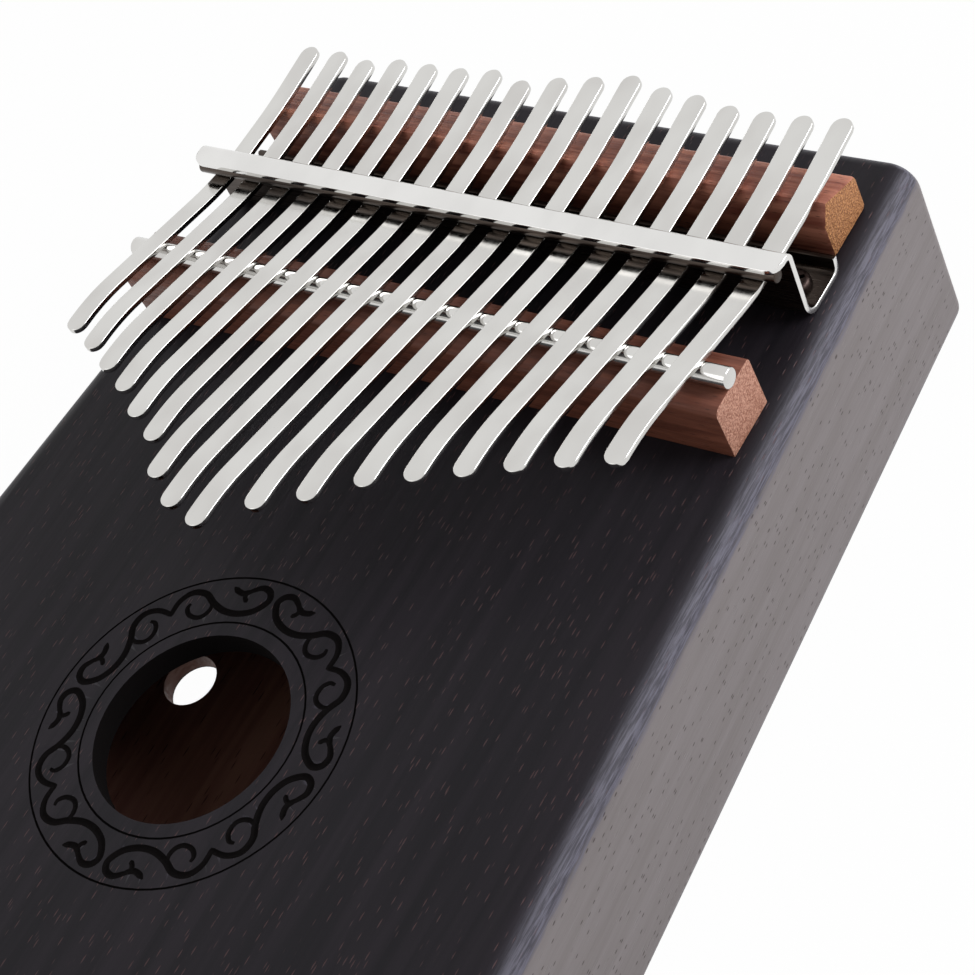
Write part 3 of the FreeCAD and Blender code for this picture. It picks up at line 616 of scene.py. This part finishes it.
make_bracket()

# %% [markdown]
# ## Rods
# The front rod carries the tines on its crest, and the pressing rod holds them down under the
# bracket's lip. Each is a length of plated bar whose cut ends have a small chamfer. A curve with
# a round bevel would do for the length; a cylinder lets its end rims be bevelled as well.

# %% Make the rods
def make_rod(node, name, material):
    low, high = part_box(node)
    radius = (high.z - low.z) / 2
    bm = bmesh.new()
    lying = Matrix.Translation((low + high) / 2) @ Euler((0, math.pi / 2, 0)).to_matrix().to_4x4()
    bmesh.ops.create_cone(bm, cap_ends=True, segments=48, radius1=radius, radius2=radius,
                          depth=high.x - low.x, matrix=lying)
    rims = [edge for edge in bm.edges if edge.calc_face_angle() > 1.0]
    bmesh.ops.bevel(bm, geom=rims, offset=0.22 * MM, segments=3, profile=0.5, affect="EDGES", material=-1)
    rod = finished(bm, name, material)
    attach(rod, "frame")
    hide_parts(node)
    return rod


# The pressing rod wears the dark painted shade and reflection of the fold it lies in.
rods = [make_rod("front_rod", "front_bridge_rod", PLATED_ROD),
        make_rod("pressing_rod", "clamp_rod", PAINTED_FOLD_SHADE)]
print("rods:", [rod.name for rod in rods])

# %% [markdown]
# ## Bridges
# The front bridge is a squared bar with a rounded front shoulder. The rear bridge is planed to
# a ridge under the tines. A scaled cube would be quick, but has no shoulder or ridge. Both bars
# are extruded from their section instead, and their edges eased by a fraction of a millimetre,
# as sandpaper does.

# %% Make the bridges
def make_bar(node, name, section, rounds, ease, material):
    """section is a list of (y, z) in mm; rounds gives a radius for the long edge at a section corner."""
    low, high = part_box(node)
    bm = bmesh.new()
    ring = [bm.verts.new((low.x, y * MM, z * MM)) for y, z in section]
    face = bm.faces.new(ring)
    pushed = bmesh.ops.extrude_face_region(bm, geom=[face], use_keep_orig=True)
    far = [item for item in pushed["geom"] if isinstance(item, bmesh.types.BMVert)]
    bmesh.ops.translate(bm, verts=far, vec=(high.x - low.x, 0, 0))
    bmesh.ops.recalc_face_normals(bm, faces=bm.faces[:])
    for corner, radius in rounds.items():
        y, z = section[corner]
        edges = [edge for edge in bm.edges
                 if all(abs(v.co.y - y * MM) < 1e-6 and abs(v.co.z - z * MM) < 1e-6 for v in edge.verts)]
        bmesh.ops.bevel(bm, geom=edges, offset=radius * MM, segments=8, profile=0.5,
                        affect="EDGES", material=-1)
    sharp = [edge for edge in bm.edges if edge.calc_face_angle() > 0.3]
    bmesh.ops.bevel(bm, geom=sharp, offset=ease * MM, segments=2, profile=0.5, affect="EDGES", material=-1)
    bar = finished(bm, name, material)
    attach(bar, "frame")
    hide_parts(node)
    return bar


front_low, front_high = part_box("front_bridge")
front_y, back_y, front_top = front_low.y / MM, front_high.y / MM, front_high.z / MM
make_bar("front_bridge", "front_bridge_bar",
         [(front_y, BOARD_TOP), (back_y, BOARD_TOP), (back_y, front_top), (front_y, front_top)],
         {2: 0.8, 3: 1.4}, 0.2, FRONT_HARDWOOD)
_, rear_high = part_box("rear_bridge")
make_bar("rear_bridge", "rear_bridge_bar",
         [(69.7, BOARD_TOP), (80.4, BOARD_TOP), (80.4, BOARD_TOP + 6.9),
          (71.8, rear_high.z / MM), (69.7, BOARD_TOP + 6.5)],
         {}, 0.7, REAR_HARDWOOD)
print("bridge tops in mm:", round(front_top, 2), round(rear_high.z / MM, 2))

# %% [markdown]
# ## Screws
# Five slotted screws hold the bracket's foot down. A boolean could cut the slot. Here the head is
# a short cylinder with a rounded rim, two cutting planes lay out the slot on its top, and the
# strip between them is pushed in, which keeps the mesh small. Each screw is turned a little
# differently, as screws end up.

# %% Make the screws
SCREW_SPACING, SCREW_Y = 26.48, 62.6
SHANK_RADIUS, SHANK_LENGTH, SLOT_WIDTH = 1.4, 11.4, 0.7


def make_screws():
    low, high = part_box("bracket_screws")
    foot_top = (BOARD_TOP + SHEET) * MM
    head = high.z - foot_top
    radius = (high.x - low.x) / 2 - 2 * SCREW_SPACING * MM
    bm = bmesh.new()
    for number in range(5):
        one = bmesh.new()
        bmesh.ops.create_cone(one, cap_ends=True, segments=32, radius1=radius, radius2=radius, depth=head)
        rim = [edge for edge in one.edges
               if edge.calc_face_angle() > 1.0 and all(vert.co.z > 0 for vert in edge.verts)]
        bmesh.ops.bevel(one, geom=rim, offset=head * 0.6, segments=4, profile=0.5,
                        affect="EDGES", material=-1)
        arm = SLOT_WIDTH * MM / 2
        for offset in (-arm, arm):
            bmesh.ops.bisect_plane(one, geom=one.verts[:] + one.edges[:] + one.faces[:],
                                   plane_co=(offset, 0, 0), plane_no=(1, 0, 0))
        slot = [face for face in one.faces if face.normal.z > 0.99
                and face.calc_center_median().z > 0 and abs(face.calc_center_median().x) < arm]
        pushed = bmesh.ops.extrude_face_region(one, geom=slot)
        verts = [item for item in pushed["geom"] if isinstance(item, bmesh.types.BMVert)]
        bmesh.ops.translate(one, verts=verts, vec=(0, 0, -0.6 * MM))
        down = Matrix.Translation((0, 0, 0.4 * MM - head / 2 - SHANK_LENGTH * MM / 2))
        bmesh.ops.create_cone(one, cap_ends=True, segments=24, radius1=SHANK_RADIUS * MM,
                              radius2=SHANK_RADIUS * MM, depth=SHANK_LENGTH * MM, matrix=down)
        turn = Euler((0, 0, math.radians(23 + 71 * number))).to_matrix().to_4x4()
        place = Matrix.Translation(((number - 2) * SCREW_SPACING * MM, SCREW_Y * MM, foot_top + head / 2))
        bmesh.ops.transform(one, matrix=place @ turn, verts=one.verts)
        spare = bpy.data.meshes.new("screw_spare")
        one.to_mesh(spare)
        one.free()
        bm.from_mesh(spare)
        bpy.data.meshes.remove(spare)
    screws = finished(bm, "bracket_screw_heads", BLACK_SCREW)
    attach(screws, "frame")
    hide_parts("bracket_screws")
    return screws


screws = make_screws()
print("screw faces:", len(screws.data.polygons))

# %% [markdown]
# ## Scrollwork round the sound hole
# Four scroll units stand round the hole. Half a unit is a rising stroke from a cusp, an S that
# ends in a hooked leaf, and a curl inside the arch. The half is drawn as a few points along
# the band, in millimetres round and out from the middle of the band, then mirrored and turned.
# A dark picture on the board would be simpler, but has no depth. So a smooth curve with a round
# section follows the points and is used as the engraving tool.

# %% Scroll strokes
BAND_RADIUS = 22.55
STEM = [(0, 0), (1.7, 1.9), (3.8, 2.7), (5.9, 1.8), (7.4, -0.3), (9.6, -1.9), (12.4, -2.4),
        (15.2, -1.6), (16.8, 0.4), (16.4, 2.0), (15.0, 2.6), (13.6, 2.0), (12.4, 1.2)]
LEAF = [(13.4, 1.8), (12.2, 1.3), (11.2, 1.6), (10.2, 2.5)]
BARB = [(12.5, 1.3), (12.6, 0.5), (13.2, -0.3)]
CURL_STROKE = [(7.1, 0.2), (6.9, -1.2), (5.8, -2.2), (4.4, -2.3), (3.1, -1.4), (2.8, -0.1), (3.4, 0.7)]


def smooth_points(points, pieces=8):
    """A Catmull-Rom curve through the points."""
    padded = [points[0]] + points + [points[-1]]
    line = []
    for a, b, c, d in zip(padded, padded[1:], padded[2:], padded[3:]):
        for k in range(pieces):
            t = k / pieces
            line.append(tuple(
                0.5 * (2 * q + (r - p) * t + (2 * p - 5 * q + 4 * r - s) * t * t
                       + (3 * q - p - 3 * r + s) * t ** 3)
                for p, q, r, s in zip(a, b, c, d)))
    return line + [points[-1]]


def on_band(point, cusp_degrees, side):
    angle = math.radians(cusp_degrees) + side * point[0] / BAND_RADIUS
    radius = BAND_RADIUS + point[1]
    return Vector((radius * math.cos(angle), HOLE_Y + radius * math.sin(angle), BOARD_TOP)) * MM


# %% Engraving tools
def stroke_tool(name, lines):
    """One mesh of round-section strokes. lines holds (points, widths) with places on the board."""
    curve = bpy.data.curves.new(name, "CURVE")
    curve.dimensions = "3D"
    curve.bevel_depth = 0.5 * MM
    curve.bevel_resolution = 3
    curve.use_fill_caps = True
    for points, widths in lines:
        spline = curve.splines.new("POLY")
        spline.points.add(len(points) - 1)
        for slot, point, width in zip(spline.points, points, widths):
            slot.co = (*point, 1)
            slot.radius = width
    holder = bpy.data.objects.new(name, curve)
    bpy.context.collection.objects.link(holder)
    bpy.context.view_layer.update()
    round_tool = bpy.data.meshes.new_from_object(holder.evaluated_get(bpy.context.evaluated_depsgraph_get()))
    bpy.data.objects.remove(holder)
    bm = bmesh.new()
    bm.from_mesh(round_tool)
    bmesh.ops.remove_doubles(bm, verts=bm.verts, dist=1e-6)
    bmesh.ops.recalc_face_normals(bm, faces=bm.faces[:])
    board = Matrix.Translation((0, 0, BOARD_TOP * MM))
    flatten = board @ Matrix.Diagonal((1, 1, 0.75, 1)) @ board.inverted()
    bmesh.ops.transform(bm, matrix=flatten, verts=bm.verts)
    mesh = bpy.data.meshes.new(name)
    bm.to_mesh(mesh)
    open_edges = sum(not edge.is_manifold for edge in bm.edges)
    print(name, "open edges:", open_edges, "mm3:", round(bm.calc_volume(signed=True) / MM ** 3, 1))
    bm.free()
    mesh.materials.append(BURNT)
    tool = bpy.data.objects.new(name, mesh)
    bpy.context.collection.objects.link(tool)
    return tool


def widths_along(count, full, start, end):
    """Stroke widths: a taper over the first and last fifth."""
    values = []
    for k in range(count):
        t = k / (count - 1)
        values.append(min(full, start + (full - start) * t * 5, end + (full - end) * (1 - t) * 5))
    return values


def scroll_tools():
    cusps = (45, 135, 225, 315)
    stems, leaves, barbs, curls = [], [], [], []
    half = smooth_points(STEM)
    for cusp in cusps:
        whole = [on_band(p, cusp, -1) for p in reversed(half)] + [on_band(p, cusp, 1) for p in half[1:]]
        widths = widths_along(len(half), 1.18, 0.9, 0.7)
        stems.append((whole, list(reversed(widths)) + widths[1:]))
        for side in (-1, 1):
            for stroke, kept, full, start, end in (
                    (LEAF, leaves, 1.05, 0.7, 0.15), (BARB, barbs, 0.85, 0.8, 0.12),
                    (CURL_STROKE, curls, 0.86, 0.6, 0.5)):
                line = [on_band(p, cusp, side) for p in smooth_points(stroke)]
                kept.append((line, widths_along(len(line), full, start, end)))
    return [stroke_tool(name, lines) for name, lines in (
        ("scroll_stems", stems), ("scroll_leaves", leaves), ("scroll_barbs", barbs), ("scroll_curls", curls))]


# %% [markdown]
# ## Cutting the scroll into the board
# The shell's own mesh is loose triangles, so a copy has its doubles merged first. Pushing faces
# in would need the scroll drawn into the mesh; a boolean draws it and cuts it at once, and the
# cut faces take the tool's burnt finish. Face-weighted normals keep the flat board flat.

# %% Engrave the shell
def engraved_shell():
    bm = bmesh.new()
    bm.from_mesh(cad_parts["body_shell"].data)
    bmesh.ops.remove_doubles(bm, verts=bm.verts, dist=1e-6)
    for face in bm.faces:
        centre = face.calc_center_median() / MM
        out = math.hypot(centre.x, centre.y - HOLE_Y)
        ring_groove = out < 28 and BOARD_TOP - 1 < centre.z < BOARD_TOP - 0.02
        hole_wall = out < HOLE_RADIUS + 0.2 and centre.z > BOARD_TOP - 5
        face.material_index = int(ring_groove or hole_wall)
    shell = finished(bm, "engraved_shell", STAINED, sharp_degrees=40)
    shell.data.materials.append(BURNT)
    tools = scroll_tools()
    for tool in tools:
        cut = shell.modifiers.new(tool.name, "BOOLEAN")
        cut.operation = "DIFFERENCE"
        cut.solver = "EXACT"
        cut.use_self = True
        cut.material_mode = "TRANSFER"
        cut.object = tool
    even = shell.modifiers.new("even_normals", "WEIGHTED_NORMAL")
    even.keep_sharp = True
    bpy.context.view_layer.update()
    mesh = bpy.data.meshes.new_from_object(shell.evaluated_get(bpy.context.evaluated_depsgraph_get()))
    shell.modifiers.clear()
    shell.data = mesh
    for tool in tools:
        bpy.data.objects.remove(tool)
    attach(shell, "frame")
    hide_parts("body_shell")
    return shell


shell = engraved_shell()
print("shell faces:", len(shell.data.polygons), "materials:", [m.name for m in shell.data.materials])

# %% [markdown]
# ## Finishes for the parts that keep their CAD shape
# The back and the block under the board are plain boards, hardly seen. They could be modelled
# again, but the CAD shape is already right, so they only get their wood.

# %% Dress the remaining nodes
for node, material in (("back_plate", STAINED_BACK), ("bridge_block", BARE)):
    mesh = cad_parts[node].data
    mesh.materials.clear()
    mesh.materials.append(material)
    print(node, "wears", material.name)

# %% [markdown]
# ## Floor, world and lamps
# The instrument lies on a plain pale floor. A white backdrop lit until it clips would burn out
# the metal too. Instead the camera and the mirror-like metal see a white surround, while soft
# light comes from a dimmer world and three large lamps: one on the right behind, a softbox
# higher up there, and a weak fill in front.

# %% White surround
def seen_directly(tree):
    path = add(tree, "ShaderNodeLightPath")
    return maths(tree, "MAXIMUM", path.outputs["Is Camera Ray"],
                 maths(tree, "MAXIMUM", path.outputs["Is Glossy Ray"], path.outputs["Is Transmission Ray"]))


def white_surround(diffuse_strength):
    world = bpy.data.worlds.new("studio")
    bpy.context.scene.world = world
    world.use_nodes = True
    tree = world.node_tree
    tree.nodes.clear()
    strength = add(tree, "ShaderNodeMapRange", {
        "Value": seen_directly(tree), "From Min": 0.0, "From Max": 1.0,
        "To Min": diffuse_strength, "To Max": 1.0,
    })
    sky = add(tree, "ShaderNodeBackground", {"Color": (1, 1, 1, 1), "Strength": strength.outputs[0]})
    add(tree, "ShaderNodeOutputWorld", {"Surface": sky.outputs[0]})


def pale_floor():
    material, tree = new_material("pale_floor")
    plain = add(tree, "ShaderNodeBsdfDiffuse", {"Color": linear("#efefef")})
    glow = add(tree, "ShaderNodeEmission", {"Color": (1, 1, 1, 1), "Strength": 1.0})
    share = maths(tree, "MULTIPLY", seen_directly(tree), 0.98)
    mixed = add(tree, "ShaderNodeMixShader", {0: share, 1: plain.outputs[0], 2: glow.outputs[0]})
    add(tree, "ShaderNodeOutputMaterial", {"Surface": mixed.outputs[0]})
    bm = bmesh.new()
    bmesh.ops.create_grid(bm, x_segments=1, y_segments=1, size=3.0)
    bmesh.ops.translate(bm, verts=bm.verts, vec=(0, 0, -0.2 * MM))
    floor = finished(bm, "floor", material)


# %% Lamps
def lamp(name, place, size, watts, colour="#ffffff", target=(0, 0, 0.03)):
    data = bpy.data.lights.new(name, "AREA")
    data.shape = "RECTANGLE"
    data.size, data.size_y = size
    data.energy = watts
    data.color = linear(colour)[:3]
    lamp_object = bpy.data.objects.new(name, data)
    lamp_object.location = place
    lamp_object.rotation_euler = (Vector(target) - Vector(place)).to_track_quat("-Z", "Y").to_euler()
    bpy.context.collection.objects.link(lamp_object)


white_surround(0.3)
pale_floor()
lamp("right_wall", (0.62, 0.45, 0.3), (0.6, 0.5), 4.2)
lamp("rear_softbox", (0.78, 0.43, 0.62), (0.45, 0.45), 3.0, "#f2f3ff")
lamp("front_fill", (-0.5, -0.9, 0.9), (0.8, 0.8), 2.2)

# %% [markdown]
# ## Camera
# The camera stands some forty centimetres away, above the right front corner, with a longer
# lens. It could be aimed by a Track To constraint; a place and three turns fix its roll as well.

# %% Camera
def place_camera():
    data = bpy.data.cameras.new("camera")
    data.sensor_width = 36.0
    data.lens = 89.64
    camera = bpy.data.objects.new("camera", data)
    bpy.context.collection.objects.link(camera)
    camera.location = Vector((229.9, -128.56, 300.7)) * MM
    camera.rotation_euler = [math.radians(turn) for turn in (39.22, 20.76, 31.64)]
    bpy.context.scene.camera = camera
    print("camera stands at", [round(v, 3) for v in camera.location])


place_camera()
bpy.context.scene.view_settings.view_transform = "Standard"
